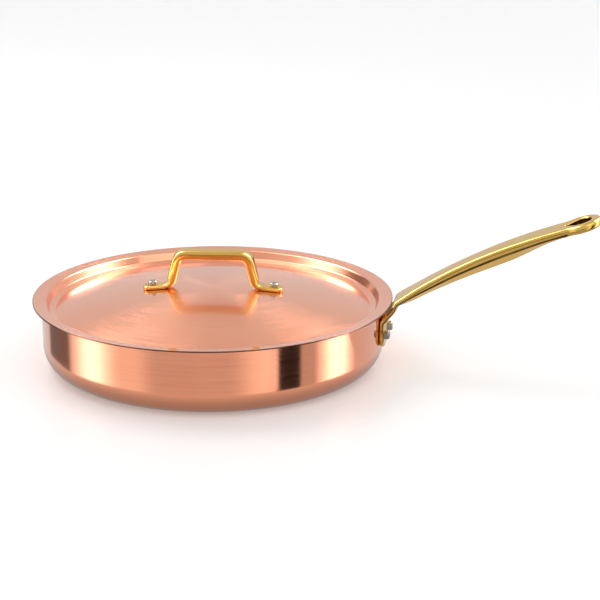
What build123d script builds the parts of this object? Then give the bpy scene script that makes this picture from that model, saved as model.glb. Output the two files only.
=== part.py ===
from build123d import *
import os
from math import asin, atan2, cos, degrees, radians, sin, sqrt, tan

# A straight-walled copper saute pan with a cast brass handle and a drop-in lid.
# Millimetres. The origin is the centre of the flat base, +Z is up and the long
# handle points along +X.

os.makedirs("parts", exist_ok=True)

# Pan body: a copper shell with a thin steel lining bonded inside it
inside_diameter = 280.0
copper_wall = 1.4
lining_wall = 0.3
pan_height = 55.5
corner_radius = 21.0
rim_round = 0.6

# Lid: a spun copper sheet, lined like the pan, whose flange overhangs the rim
flange_overhang = 7.4
flange_slope = 6.8
flange_edge_round = 0.3
lid_copper = 0.8
lid_lining = 0.25
lid_seat_gap = 0.3
lid_side_clearance = 0.4
step_depth = 6.0
step_lean = 27.0
step_top_bend = 1.6
step_foot_bend = 0.9
ledge_width = 4.8
ledge_drop = 2.1
dome_rise = 15.6

# Rivets that hold the long handle
rivet_shank_radius = 2.5
rivet_head_radius = 3.9
rivet_head_height = 4.3
rivet_head_round = 1.3
rivet_back_radius = 4.6
rivet_back_height = 1.6
rivet_back_round = 0.7
rivet_back_gap = 0.1
rivet_hole_clearance = 0.1
rivet_spacing = 24.0
rivet_height = 33.5

# Rivets that hold the lid handle
lid_rivet_shank_radius = 2.4
lid_rivet_head_radius = 3.8
lid_rivet_head_height = 3.4
lid_rivet_head_round = 1.2
lid_rivet_back_radius = 4.4
lid_rivet_back_height = 1.4

# Long handle, first its plate on the wall and its neck under the flange
plate_bottom = 24.0
plate_width = 37.0
plate_edge_depth = 3.0
plate_ridge_depth = 6.2
plate_corner = 9.0
plate_seat_gap = 0.1
plate_back_margin = 0.6
plate_corner_margin = 0.2
neck_bend = 14.0
rivet_seat_depth = 3.9
rivet_seat_margin = 0.7
neck_reach = 12.5
neck_rise = 6.6
neck_slope = 54.0
neck_width = 31.0
neck_depth = 8.2
neck_edge_depth = 3.6

# Then its grip, which bends down towards the pan and carries a belly underneath
grip_start_angle = 35.5
grip_end_angle = 20.0
grip_bend_radius = 472.0
grip_width = 25.4
grip_depth = 13.7
grip_edge_depth = 6.4
keel_half_width = 3.2

# Roundings of the handle's sections: upper edges, crease along the side, keel
plate_rounds = (1.4, 1.2, 2.0)
neck_rounds = (2.2, 1.4, 2.4)
grip_rounds = (2.9, 1.5, 2.4)

# Where the handle's sections lie and how large they are, in shares of the named sizes
plate_shares = (0, 0.2)
neck_shares = (
    (0.34, 1.17, 0.93, 1.2, 1.0),
    (0.44, 1.14, 0.84, 1.0, 1.0),
    (0.54, 1.1, 0.8, 0.95, 1.05),
    (0.76, 1.04, 0.84, 0.95, 1.2),
    (1, 1.0, 1.0, 1.0, 1.6),
)
grip_shares = (
    (0.055, 1.13, 0.61, 0.61, 1.8),
    (0.136, 1.0, 0.655, 0.75, 1.55),
    (0.228, 0.92, 0.705, 0.86, 1.35),
    (0.4, 0.868, 0.815, 0.94, 1.12),
    (0.54, 0.868, 0.9, 0.985, 1.03),
    (0.67, 0.906, 0.965, 1.0, 1.0),
    (0.8, 0.955, 1.0, 1.0, 1.0),
    (0.923, 0.99, 0.955, 0.95, 1.19),
    (1, 1.005, 0.87, 0.875, 1.5),
)
run_out_share = 0.55
run_out_depth_share = 0.3
run_out_keel_share = 0.55
full_round_share = 0.98
flat_share = 0.99

# Last its hanging eye
eye_start = 15.0
eye_reach = 34.0
eye_radius = 16.0
eye_neck_width = 26.4
eye_thickness = 8.0
eye_edge_round = 3.0
eye_flare_round = 28.0
eye_hole_radius = 8.6
eye_hole_tip_radius = 1.4
eye_hole_tip_reach = 12.2
eye_hole_round = 1.6

# Lid handle: a bridge on two leaning legs with flat riveted feet
lid_handle_turn = 5.5
foot_rivet_reach = 17.7
foot_end_margin = 7.9
foot_heel_reach = 4.7
foot_width = 13.6
foot_thickness = 3.2
foot_corner = 5.0
foot_edge_round = 0.9
foot_seat_gap = 0.15
strap_depth = 13.0
strap_thickness = 7.6
strap_round = 2.8
strap_foot_round = 0.9
strap_foot_lift = 0.5
strap_inset = 0.02
bridge_clearance = 26.0
bridge_half_span = 26.0
leg_lean = 14.2
leg_top_bend = 4.6
leg_foot_bend = 8.5

# Where the legs' even length ends, and the sections of the strap below it: stretch of its
# lower line, share of the stretch and share of the strap's thickness
leg_end_share = 0.75
strap_shares = (
    (2, 0.5, 0.99),
    (2, 1, 0.98),
    (3, 0.2, 0.93),
    (3, 0.4, 0.84),
    (3, 0.6, 0.73),
    (3, 0.8, 0.6),
    (4, 0, 0.47),
    (4, 0.3, 0.3),
)

# One overrun serves every cut, and one reach everything that the handle may span
overrun = 5.0
handle_reach = 400.0

# Sizes of the pan that follow from the ones above
inside_radius = inside_diameter / 2
copper_inside_radius = inside_radius + lining_wall
wall_radius = copper_inside_radius + copper_wall

# Sizes of the lid, worked out from the flange's seat on the rim
lid_sheet = lid_copper + lid_lining
flange_gradient = tan(radians(flange_slope))
flange_radius = wall_radius + flange_overhang
step_top_radius = inside_radius - lid_side_clearance - lid_sheet / cos(radians(step_lean))
seat_height = pan_height + lid_seat_gap + lid_sheet / cos(radians(flange_slope))
step_top_height = seat_height - (inside_radius - step_top_radius) * flange_gradient
flange_height = seat_height + (flange_radius - inside_radius) * flange_gradient
step_foot_radius = step_top_radius - step_depth * tan(radians(step_lean))
step_foot_height = step_top_height - step_depth
dome_radius = step_foot_radius - ledge_width
dome_edge_height = step_foot_height - ledge_drop
dome_top = dome_edge_height + dome_rise
dome_sphere_radius = (dome_radius**2 + dome_rise**2) / (2 * dome_rise)

sides = (-1, 1)


def bowl_section(outer_radius, base_height, bend_radius, wall):
    """Half section of a straight-walled bowl of even wall, up to the pan's rim."""
    inner_radius = outer_radius - wall
    floor = base_height + wall
    with BuildSketch(Plane.XZ) as section:
        with BuildLine():
            FilletPolyline(
                (0, base_height),
                (outer_radius, base_height),
                (outer_radius, pan_height),
                radius=bend_radius,
            )
            Line((outer_radius, pan_height), (inner_radius, pan_height))
            FilletPolyline(
                (inner_radius, pan_height),
                (inner_radius, floor),
                (0, floor),
                radius=bend_radius - wall,
            )
            Line((0, floor), (0, base_height))
        make_face()
    return section.sketch


def lid_section(wall):
    """Half section of the lid's sheet from its upper face down to this thickness."""
    with BuildSketch(Plane.XZ) as section:
        with BuildLine():
            FilletPolyline(
                (flange_radius, flange_height),
                (step_top_radius, step_top_height),
                (step_foot_radius, step_foot_height),
                (dome_radius, dome_edge_height),
                radius=(step_top_bend, step_foot_bend),
            )
            TangentArc((0, dome_top), (dome_radius, dome_edge_height), tangent=(1, 0))
            offset(amount=wall, side=Side.LEFT)
        make_face()
    return section.sketch


def dome_height(radius):
    """Height of the dome's upper face at this distance from the axis."""
    return dome_top - dome_sphere_radius + sqrt(dome_sphere_radius**2 - radius**2)


# Where the rivets of the long handle stand: on a level, either side of its middle
rivet_hole_radius = rivet_shank_radius + rivet_hole_clearance
rivet_seat_radius = wall_radius + rivet_seat_depth
rivet_half_angle = degrees(asin(rivet_spacing / 2 / rivet_seat_radius))


def pan_rivet_plane(side, distance):
    """Plane square to a rivet of the long handle, this far from the pan's axis."""
    outward = Vector(1, 0, 0).rotate(Axis.Z, side * rivet_half_angle)
    return Plane(outward * distance + Vector(0, 0, rivet_height), Vector(0, 0, 1), outward)


# Where the rivets of the lid handle stand: beside its legs, square to the dome under its feet
leg_spread = tan(radians(leg_lean))
lid_handle_half_span = bridge_half_span + bridge_clearance * leg_spread + foot_rivet_reach
lid_rivet_hole_radius = lid_rivet_shank_radius + rivet_hole_clearance
dome_tilt = degrees(asin(lid_handle_half_span / dome_sphere_radius))
foot_seat_height = dome_height(lid_handle_half_span) + foot_seat_gap


def lid_rivet_plane(side, rise):
    """Plane square to a rivet of the lid handle, this far above the foot's seat."""
    square = Vector(0, 0, 1).rotate(Axis.Y, side * dome_tilt)
    place = Vector(side * lid_handle_half_span, 0, foot_seat_height) + square * rise
    turned = [vector.rotate(Axis.Z, lid_handle_turn) for vector in (place, Vector(0, 1, 0), square)]
    return Plane(*turned)


def rivet_section(head_radius, head_height, head_round, shank_radius, grip, back_radius, back_height):
    """Half section of a rivet about +Y: the head stands above zero, the back below the grip."""
    with BuildSketch(Plane.XY) as section:
        with BuildLine():
            Polyline(
                (0, head_height),
                (head_radius, head_height),
                (head_radius, 0),
                (shank_radius, 0),
                (shank_radius, -grip),
                (back_radius, -grip),
                (back_radius, -grip - back_height),
                (0, -grip - back_height),
                close=True,
            )
        make_face()
        top_corner = section.vertices().sort_by(Axis.Y)[-2:].sort_by(Axis.X)[-1]
        fillet(top_corner, radius=head_round)
        back_corner = section.vertices().sort_by(Axis.Y)[:2].sort_by(Axis.X)[-1]
        fillet(back_corner, radius=rivet_back_round)
    return section.sketch


# Copper shell of the pan
wall_cut = wall_radius - inside_radius + 2 * overrun
with BuildPart() as pan_shell:
    add(bowl_section(wall_radius, 0, corner_radius, copper_wall))
    revolve(axis=Axis.Z)
    rim_edges = pan_shell.edges().filter_by(GeomType.CIRCLE).group_by(Axis.Z)[-1]
    fillet(rim_edges.sort_by(SortBy.RADIUS)[-1], radius=rim_round)
    with BuildSketch(*[pan_rivet_plane(side, wall_radius + overrun) for side in sides]):
        Circle(rivet_hole_radius)
    extrude(amount=-wall_cut, mode=Mode.SUBTRACT)
pan_shell.part.label = "pan_shell"

# Steel lining inside the shell
with BuildPart() as pan_lining:
    add(bowl_section(copper_inside_radius, copper_wall, corner_radius - copper_wall, lining_wall))
    revolve(axis=Axis.Z)
    with BuildSketch(*[pan_rivet_plane(side, wall_radius + overrun) for side in sides]):
        Circle(rivet_hole_radius)
    extrude(amount=-wall_cut, mode=Mode.SUBTRACT)
pan_lining.part.label = "pan_lining"

# Copper sheet of the lid
lid_cut = foot_thickness + lid_sheet + 2 * overrun
with BuildPart() as lid_shell:
    add(lid_section(lid_copper))
    revolve(axis=Axis.Z)
    flange_edges = lid_shell.edges().sort_by(lambda edge: edge.bounding_box().size.X)[-2:]
    fillet(flange_edges.sort_by(Axis.Z)[-1], radius=flange_edge_round)
    with BuildSketch(*[lid_rivet_plane(side, foot_thickness + overrun) for side in sides]):
        Circle(lid_rivet_hole_radius)
    extrude(amount=-lid_cut, mode=Mode.SUBTRACT)
lid_shell.part.label = "lid_shell"

# Lining under the lid
with BuildPart() as lid_lining_sheet:
    with BuildSketch(Plane.XZ):
        add(lid_section(lid_sheet))
        add(lid_section(lid_copper), mode=Mode.SUBTRACT)
    revolve(axis=Axis.Z)
    with BuildSketch(*[lid_rivet_plane(side, foot_thickness + overrun) for side in sides]):
        Circle(lid_rivet_hole_radius)
    extrude(amount=-lid_cut, mode=Mode.SUBTRACT)
lid_lining_sheet.part.label = "lid_lining"

# The long handle's upper line: up the wall, out along the neck and over the grip's bend
plate_back = sqrt(wall_radius**2 - (plate_width / 2) ** 2) - plate_back_margin
grip_start = Vector(wall_radius + neck_reach, 0, pan_height + neck_rise)
neck_foot = grip_start.Z - (grip_start.X - plate_back) * tan(radians(neck_slope))
with BuildLine(Plane.XZ) as neck_line:
    FilletPolyline(
        (plate_back, plate_bottom),
        (plate_back, neck_foot),
        (grip_start.X, grip_start.Z),
        radius=neck_bend,
    )


def climb(angle):
    """Unit vector that climbs away from the pan at this angle."""
    return Vector(cos(radians(angle)), 0, sin(radians(angle)))


def across(place, angle):
    """Plane across the handle at a place on its upper line, with +Y to the side."""
    return Plane(place, Vector(0, 1, 0), climb(angle))


def grip_place(angle):
    """Place on the grip's bend where the upper line climbs at this angle."""
    return grip_start + grip_bend_radius * (climb(angle + 90) - climb(grip_start_angle + 90))


grip_end = grip_place(grip_end_angle)


def handle_section(plane, width, depth, edge_depth, keel, rounds):
    """Section of the handle: a flat top, upright edges and facets that slope to a keel."""
    top_round, crease, keel_edge = rounds
    half = width / 2
    with BuildSketch(plane) as section:
        with BuildLine():
            Polyline(
                (-half, 0),
                (half, 0),
                (half, -edge_depth),
                (keel, -depth),
                (-keel, -depth),
                (-half, -edge_depth),
                close=True,
            )
        make_face()
        fillet(section.vertices().group_by(Axis.Y)[-1], radius=top_round)
        fillet(section.vertices().group_by(Axis.Y)[1], radius=crease)
        fillet(section.vertices().group_by(Axis.Y)[0], radius=keel_edge)
    return section.sketch


def plate_section(share):
    """Section of the handle's plate at this share of the neck's line."""
    depth = wall_radius + plate_ridge_depth - plate_back
    edge_depth = wall_radius + plate_edge_depth - plate_back
    plane = across(neck_line.line @ share, 90)
    return handle_section(plane, plate_width, depth, edge_depth, keel_half_width, plate_rounds)


def neck_section(share, width_share, depth_share, edge_share, keel_share):
    """Section of the neck at this share of its line, in shares of the neck's own sizes."""
    leave = neck_line.line % share
    angle = degrees(atan2(leave.Z, leave.X))
    if share == 1:
        angle = (angle + grip_start_angle) / 2
    return handle_section(
        across(neck_line.line @ share, angle),
        neck_width * width_share,
        neck_depth * depth_share,
        neck_edge_depth * edge_share,
        keel_half_width * keel_share,
        plate_rounds if share < 1 else neck_rounds,
    )


def grip_section(share, width_share, depth_share, edge_share, keel_share):
    """Section of the grip at this share of its bend, in shares of the grip's own sizes."""
    angle = grip_start_angle + (grip_end_angle - grip_start_angle) * share
    return handle_section(
        across(grip_place(angle), angle),
        grip_width * width_share,
        grip_depth * depth_share,
        grip_edge_depth * edge_share,
        keel_half_width * keel_share,
        grip_rounds,
    )


# The grip runs out into the eye, whose rounded edges its last section repeats
bevel = eye_edge_round * tan(radians(45 / 2))
eye_edge_depth = eye_thickness - eye_edge_round - bevel
eye_keel = eye_neck_width / 2 - eye_edge_round + bevel
eye_rounds = (eye_edge_round, eye_edge_round * full_round_share, eye_edge_round * full_round_share)
run_out_width = grip_width + (eye_neck_width - grip_width) * run_out_share
run_out_depth = eye_thickness + (grip_depth - eye_thickness) * run_out_depth_share
run_out_keel = keel_half_width + (eye_keel - keel_half_width) * run_out_keel_share

with BuildPart() as handle:
    # The eye: a rounded end whose outline flares out of the grip
    eye_top = Plane(grip_end, climb(grip_end_angle), climb(grip_end_angle + 90))
    with BuildSketch(eye_top) as eye_outline:
        with Locations((eye_start, 0)):
            Rectangle(eye_reach - eye_start, eye_neck_width, align=(Align.MIN, Align.CENTER))
        with Locations((eye_reach, 0)):
            Circle(eye_radius)
        fillet(eye_outline.vertices().group_by(Axis.X)[1], radius=eye_flare_round)
    extrude(amount=-eye_thickness)
    eye_end = handle.faces().sort_by(Axis.X)[0]
    eye_faces = handle.faces().filter_by(
        lambda face: abs(face.normal_at().dot(eye_top.z_dir)) > flat_share
    )
    fillet(eye_faces.edges() - eye_end.edges(), radius=eye_edge_round)
    with BuildSketch(eye_top):
        with Locations((eye_reach, 0)):
            Circle(eye_hole_radius)
        with Locations((eye_reach - eye_hole_tip_reach, 0)):
            Circle(eye_hole_tip_radius)
        make_hull()
    extrude(amount=-eye_thickness, mode=Mode.SUBTRACT)
    hole_rims = handle.edges(Select.LAST).filter_by(
        lambda edge: abs((edge % 0).dot(eye_top.z_dir)) < 1 - flat_share
    )
    fillet(hole_rims, radius=eye_hole_round)
    # Plate, neck and grip as one casting through sections across its upper line
    for share in plate_shares:
        add(plate_section(share))
    for shares in neck_shares:
        add(neck_section(*shares))
    for shares in grip_shares:
        add(grip_section(*shares))
    run_out_plane = across(grip_end + climb(grip_end_angle) * eye_start * run_out_share, grip_end_angle)
    run_out_edge = grip_edge_depth + (eye_edge_depth - grip_edge_depth) * run_out_share
    run_out_sizes = (run_out_width, run_out_depth, run_out_edge, run_out_keel)
    add(handle_section(run_out_plane, *run_out_sizes, grip_rounds))
    eye_plane = across(grip_end + climb(grip_end_angle) * eye_start, grip_end_angle)
    add(handle_section(eye_plane, eye_neck_width, eye_thickness, eye_edge_depth, eye_keel, eye_rounds))
    loft()
    # The plate's back follows the wall and its lower corners are rounded
    Cylinder(
        wall_radius + plate_seat_gap,
        pan_height,
        align=(Align.CENTER, Align.CENTER, Align.MIN),
        mode=Mode.SUBTRACT,
    )
    with BuildSketch(Plane.YZ) as plate_outline:
        with Locations((0, plate_bottom)):
            Rectangle(
                plate_width + 2 * plate_corner_margin,
                handle_reach,
                align=(Align.CENTER, Align.MIN),
            )
        fillet(plate_outline.vertices().group_by(Axis.Y)[0], radius=plate_corner)
    extrude(amount=handle_reach, mode=Mode.INTERSECT)
    # Flat seats for the rivets, and their holes
    with BuildSketch(*[pan_rivet_plane(side, rivet_seat_radius) for side in sides]):
        Circle(rivet_head_radius + rivet_seat_margin)
    extrude(amount=plate_ridge_depth, mode=Mode.SUBTRACT)
    with BuildSketch(*[pan_rivet_plane(side, rivet_seat_radius) for side in sides]):
        Circle(rivet_hole_radius)
    extrude(amount=-(rivet_seat_depth + overrun), mode=Mode.SUBTRACT)
handle.part.label = "handle"

# Lid handle, straight along X: the lower line of one half, from its middle to a foot
bridge_under = foot_seat_height + bridge_clearance
foot_fall = tan(radians(dome_tilt))
leg_foot_rise = foot_rivet_reach * foot_fall / (1 - leg_spread * foot_fall)
leg_foot_span = bridge_half_span + (bridge_clearance - leg_foot_rise) * leg_spread
foot_end_span = lid_handle_half_span + foot_end_margin
with BuildLine(Plane.XZ) as strap_line:
    FilletPolyline(
        (0, bridge_under),
        (bridge_half_span, bridge_under),
        (leg_foot_span, foot_seat_height + leg_foot_rise + strap_foot_lift),
        (foot_end_span, foot_seat_height - foot_end_margin * foot_fall + strap_foot_lift),
        radius=(leg_top_bend, leg_foot_bend),
    )
strap_edges = strap_line.line.edges().sort_by(Axis.X)
leg_end = strap_edges[2] @ leg_end_share


def strap_section(side, stretch_number, share, thickness_share):
    """Section of the lid handle's strap at this share of one stretch of its lower line."""
    stretch = strap_edges[stretch_number]
    place = stretch @ share
    along = stretch % share
    plane = Plane(
        Vector(side * place.X, 0, place.Z),
        Vector(0, 1, 0),
        Vector(along.X, 0, side * along.Z),
    )
    thickness = strap_thickness * thickness_share
    corner = strap_foot_round + (strap_round - strap_foot_round) * thickness_share**2
    with BuildSketch(plane) as section:
        with Locations((0, thickness / 2)):
            RectangleRounded(strap_depth - 2 * strap_inset, thickness, corner)
    return section.sketch


def foot_plane(side):
    """Plane of the seat under a foot, with +X out along the lid handle."""
    return Plane(
        Vector(side * lid_handle_half_span, 0, foot_seat_height),
        Vector(side * cos(radians(dome_tilt)), 0, -sin(radians(dome_tilt))),
        Vector(side * sin(radians(dome_tilt)), 0, cos(radians(dome_tilt))),
    )


# The bridge and its legs: one bar of even thickness with rounded edges
with BuildPart() as bridge:
    with BuildSketch(Plane.XZ):
        with BuildLine():
            FilletPolyline(
                (-leg_end.X, leg_end.Z),
                (-bridge_half_span, bridge_under),
                (bridge_half_span, bridge_under),
                (leg_end.X, leg_end.Z),
                radius=leg_top_bend,
            )
            offset(amount=strap_thickness, side=Side.LEFT)
        make_face()
    extrude(amount=strap_depth / 2, both=True)
    bar_ends = bridge.faces().sort_by(Axis.Z)[:2]
    bar_edges = bridge.faces().filter_by(Axis.Y).edges() - bar_ends.edges()
    fillet(bar_edges, radius=strap_round)

with BuildPart() as straight_lid_handle:
    # Flat feet with rounded corners and soft upper edges
    with BuildSketch(*[foot_plane(side) for side in sides]):
        with Locations((foot_end_margin, 0)):
            RectangleRounded(
                foot_end_margin + foot_rivet_reach - foot_heel_reach,
                foot_width,
                foot_corner,
                align=(Align.MAX, Align.CENTER),
            )
    extrude(amount=foot_thickness)
    foot_tops = straight_lid_handle.faces().sort_by(Axis.Z)[-2:]
    fillet(foot_tops.edges(), radius=foot_edge_round)
    # Below the legs the strap thins round the bend into each foot
    for shares in reversed(strap_shares):
        add(strap_section(-1, *shares))
    loft(ruled=True)
    for shares in strap_shares:
        add(strap_section(1, *shares))
    loft(ruled=True)
    add(bridge.part)
    with BuildSketch(*[foot_plane(side) for side in sides]):
        Circle(lid_rivet_hole_radius)
    extrude(amount=foot_thickness, mode=Mode.SUBTRACT)

with BuildPart() as lid_handle:
    add(straight_lid_handle.part, rotation=(0, 0, lid_handle_turn))
lid_handle.part.label = "lid_handle"


def rivet_plane_along(plane):
    """Plane that holds the rivet's axis as its own +Y, at the head's seat."""
    return Plane(plane.origin, plane.x_dir, plane.x_dir.cross(plane.z_dir))


def make_rivet(plane, sizes):
    """One rivet about the normal of the plane that its head sits on."""
    with BuildPart() as rivet:
        with BuildSketch(rivet_plane_along(plane)):
            add(rivet_section(*sizes))
        revolve(axis=Axis(plane.origin, plane.z_dir))
    return rivet


pan_rivet_grip = rivet_seat_radius - inside_radius + rivet_back_gap
pan_rivet_sizes = (
    rivet_head_radius,
    rivet_head_height,
    rivet_head_round,
    rivet_shank_radius,
    pan_rivet_grip,
    rivet_back_radius,
    rivet_back_height,
)
lid_rivet_grip = foot_thickness + foot_seat_gap + lid_sheet + rivet_back_gap
lid_rivet_sizes = (
    lid_rivet_head_radius,
    lid_rivet_head_height,
    lid_rivet_head_round,
    lid_rivet_shank_radius,
    lid_rivet_grip,
    lid_rivet_back_radius,
    lid_rivet_back_height,
)
handle_rivet_front = make_rivet(pan_rivet_plane(-1, rivet_seat_radius), pan_rivet_sizes)
handle_rivet_front.part.label = "handle_rivet_front"
handle_rivet_back = make_rivet(pan_rivet_plane(1, rivet_seat_radius), pan_rivet_sizes)
handle_rivet_back.part.label = "handle_rivet_back"
lid_rivet_left = make_rivet(lid_rivet_plane(-1, foot_thickness), lid_rivet_sizes)
lid_rivet_left.part.label = "lid_rivet_left"
lid_rivet_right = make_rivet(lid_rivet_plane(1, foot_thickness), lid_rivet_sizes)
lid_rivet_right.part.label = "lid_rivet_right"

export_step(pan_shell.part, "parts/pan_shell.step")
export_step(pan_lining.part, "parts/pan_lining.step")
export_step(handle.part, "parts/handle.step")
export_step(handle_rivet_front.part, "parts/handle_rivet_front.step")
export_step(handle_rivet_back.part, "parts/handle_rivet_back.step")
export_step(lid_shell.part, "parts/lid_shell.step")
export_step(lid_lining_sheet.part, "parts/lid_lining.step")
export_step(lid_handle.part, "parts/lid_handle.step")
export_step(lid_rivet_left.part, "parts/lid_rivet_left.step")
export_step(lid_rivet_right.part, "parts/lid_rivet_right.step")
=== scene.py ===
"""Dresses a copper saute pan with its lid: turned copper, cast brass, steel linings and rivets."""

import logging
import math
from dataclasses import dataclass
from enum import Enum
from typing import Sequence

import bmesh
import bpy
from bpy.types import ID, Material, Node, NodeSocket, NodeTree, Object
from mathutils import Matrix, Vector, kdtree


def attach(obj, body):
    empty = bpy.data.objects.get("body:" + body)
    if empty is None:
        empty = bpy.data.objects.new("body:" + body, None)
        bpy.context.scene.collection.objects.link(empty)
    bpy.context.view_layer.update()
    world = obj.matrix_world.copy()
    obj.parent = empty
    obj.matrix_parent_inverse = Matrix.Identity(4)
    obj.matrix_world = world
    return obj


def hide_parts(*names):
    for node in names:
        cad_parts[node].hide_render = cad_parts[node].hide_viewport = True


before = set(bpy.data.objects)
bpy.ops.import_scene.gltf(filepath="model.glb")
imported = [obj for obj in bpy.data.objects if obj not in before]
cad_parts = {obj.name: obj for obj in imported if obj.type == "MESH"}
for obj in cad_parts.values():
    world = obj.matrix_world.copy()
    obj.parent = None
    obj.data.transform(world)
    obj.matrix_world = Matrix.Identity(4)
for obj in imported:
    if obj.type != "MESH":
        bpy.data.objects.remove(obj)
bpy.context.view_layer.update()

Point = tuple[float, float]
Colour = tuple[float, float, float, float]
Materials = dict[str, Material]
BMesh = bmesh.types.BMesh
Ring = list[bmesh.types.BMVert]

MM = 0.001
IMAGE_SIDE = 600.0
SPOKES = 300
ARC_STEP = math.radians(3)
FLATTEN = (1.0, 1.0, 0.0)
WHITE: Colour = (1.0, 1.0, 1.0, 1.0)
BLACK: Colour = (0.0, 0.0, 0.0, 1.0)
LOG = logging.getLogger("saute_pan")


class Body(Enum):
    """The rigid bodies of the model."""

    PAN = "pan"
    LID = "lid"


class Slot(Enum):
    """The record's material slots."""

    COPPER = "copper"
    LINING = "lining_steel"
    BRASS = "cast_brass"
    RIVET = "rivet_steel"


def rounded_path(points: Sequence[Point], radii: Sequence[float], longest: float) -> list[Point]:
    """Runs through the points with each inner corner rounded.

    Args:
        points: Corners of the path, first and last included.
        radii: Radius of each inner corner.
        longest: Longest step along a straight stretch.

    Returns:
        The points of the rounded path.
    """
    path = [points[0]]
    for before, corner, after, radius in zip(points, points[1:], points[2:], radii):
        into, out = Vector(corner) - Vector(before), Vector(after) - Vector(corner)
        turn = abs(into.normalized().angle_signed(out.normalized(), 0))
        count = max(2, math.ceil(turn / ARC_STEP)) + 1
        arc = fixed_round(before, corner, after, radius, count, most=1.0)
        path += straight_steps(path[-1], arc[0], longest) + arc
    return path + straight_steps(path[-1], points[-1], longest) + [points[-1]]


def straight_steps(start: Point, end: Point, longest: float) -> list[Point]:
    """Points between start and end, both left out, no further apart than the longest step."""
    count = max(1, math.ceil(math.dist(start, end) / longest))
    shares = [number / count for number in range(1, count)]
    return [(start[0] + (end[0] - start[0]) * s, start[1] + (end[1] - start[1]) * s) for s in shares]


def fixed_round(
    before: Point, corner: Point, after: Point, radius: float, count: int, most: float = 0.49
) -> list[Point]:
    """Rounds one corner with a fixed number of points.

    Args:
        before: Point before the corner.
        corner: The corner itself.
        after: Point after it.
        radius: Wanted radius, made smaller where the sides are too short for it.
        count: Number of points on the arc.
        most: Largest share of the shorter side that the arc may use.

    Returns:
        The points of the arc.
    """
    here = Vector(corner)
    into, out = Vector(before) - here, Vector(after) - here
    opening = into.angle(out, math.pi)
    longest_cut = most * min(into.length, out.length)
    cut = min(radius / math.tan(opening / 2), longest_cut)
    start, end = here + into.normalized() * cut, here + out.normalized() * cut
    centre = here + (into.normalized() + out.normalized()).normalized() * (cut / math.cos(opening / 2))
    first = start - centre
    turn = first.angle_signed(end - centre, 0)
    spokes = [Matrix.Rotation(-turn * number / (count - 1), 2) @ first for number in range(count)]
    return [tuple(centre + spoke) for spoke in spokes]


def millimetres(*stops: Point) -> tuple[Point, ...]:
    """Turns stops given in millimetres into metres."""
    return tuple((place * MM, value * MM) for place, value in stops)


def smooth_value(stops: Sequence[Point], place: float) -> float:
    """Value at a place between stops, on smooth curves that pass through them."""
    place = min(max(place, stops[0][0]), stops[-1][0])
    right = next(number for number in range(1, len(stops)) if place <= stops[number][0])
    slopes = []
    for number in (right - 1, right):
        before, after = stops[max(number - 1, 0)], stops[min(number + 1, len(stops) - 1)]
        slopes.append((after[1] - before[1]) / (after[0] - before[0]))
    (start, low), (end, high) = stops[right - 1], stops[right]
    length = end - start
    share = (place - start) / length
    return (
        low * (1 + 2 * share) * (1 - share) ** 2
        + high * share**2 * (3 - 2 * share)
        + length * share * (1 - share) * (slopes[0] * (1 - share) - slopes[1] * share)
    )


def beside_path(path: Sequence[Point], distance: float) -> list[Point]:
    """The path moved sideways, to its right for a positive distance."""
    moved = []
    for number, (x, y) in enumerate(path):
        before = Vector(path[max(number - 1, 0)])
        after = Vector(path[min(number + 1, len(path) - 1)])
        along = (after - before).normalized()
        moved.append((max(x + along.y * distance, 0.0), y - along.x * distance))
    return moved


def turned_mesh(name: str, profile: Sequence[Point], sharp_angle: float) -> Object:
    """Turns a profile about the vertical axis into a closed mesh.

    Args:
        name: Name of the piece.
        profile: Radius and height of each point, from the axis round to the axis again or closed.
        sharp_angle: Angle between faces, in degrees, from which an edge is sharp.

    Returns:
        The new object, in the scene.
    """
    built = bmesh.new()
    turns = [math.tau * number / SPOKES for number in range(SPOKES)]
    rings = []
    for radius, height in profile:
        on_axis = radius < MM / 100
        ring = [(radius * math.cos(turn), radius * math.sin(turn), height) for turn in turns]
        rings.append([built.verts.new(point) for point in ([(0, 0, height)] if on_axis else ring)])
    if len(rings[0]) > 1:
        rings.append(rings[0])
    for lower, upper in zip(rings, rings[1:]):
        bridged(built, lower, upper)
    bmesh.ops.recalc_face_normals(built, faces=built.faces)
    return finished_object(name, built, sharp_angle)


def bridged(built: BMesh, first: Ring, second: Ring) -> None:
    """Fills the gap between two rings of points with faces; either ring may be one point."""
    count = max(len(first), len(second))
    for number in range(count):
        following = (number + 1) % count
        places = ((first, number), (first, following), (second, following), (second, number))
        corners = dict.fromkeys(ring[place % len(ring)] for ring, place in places)
        if len(corners) > 2:
            built.faces.new(list(corners))


def linked_object(name: str, data: ID) -> Object:
    """Makes an object of this data and links it to the scene."""
    made = bpy.data.objects.new(name, data)
    bpy.context.scene.collection.objects.link(made)
    return made


def finished_object(name: str, built: BMesh, sharp_angle: float) -> Object:
    """Makes a smooth-shaded object of a bmesh and links it to the scene.

    Args:
        name: Name of the piece.
        built: The mesh, which is freed.
        sharp_angle: Angle between faces, in degrees, from which an edge is sharp.

    Returns:
        The new object.
    """
    mesh = bpy.data.meshes.new(name)
    built.to_mesh(mesh)
    built.free()
    mesh.shade_smooth()
    mesh.set_sharp_from_angle(angle=math.radians(sharp_angle))
    return linked_object(name, mesh)


def baked_modifiers(piece: Object) -> None:
    """Turns what the piece's modifiers make into its plain mesh and removes them."""
    depsgraph = bpy.context.evaluated_depsgraph_get()
    result = bpy.data.meshes.new_from_object(piece.evaluated_get(depsgraph))
    piece.modifiers.clear()
    piece.data = result


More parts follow.
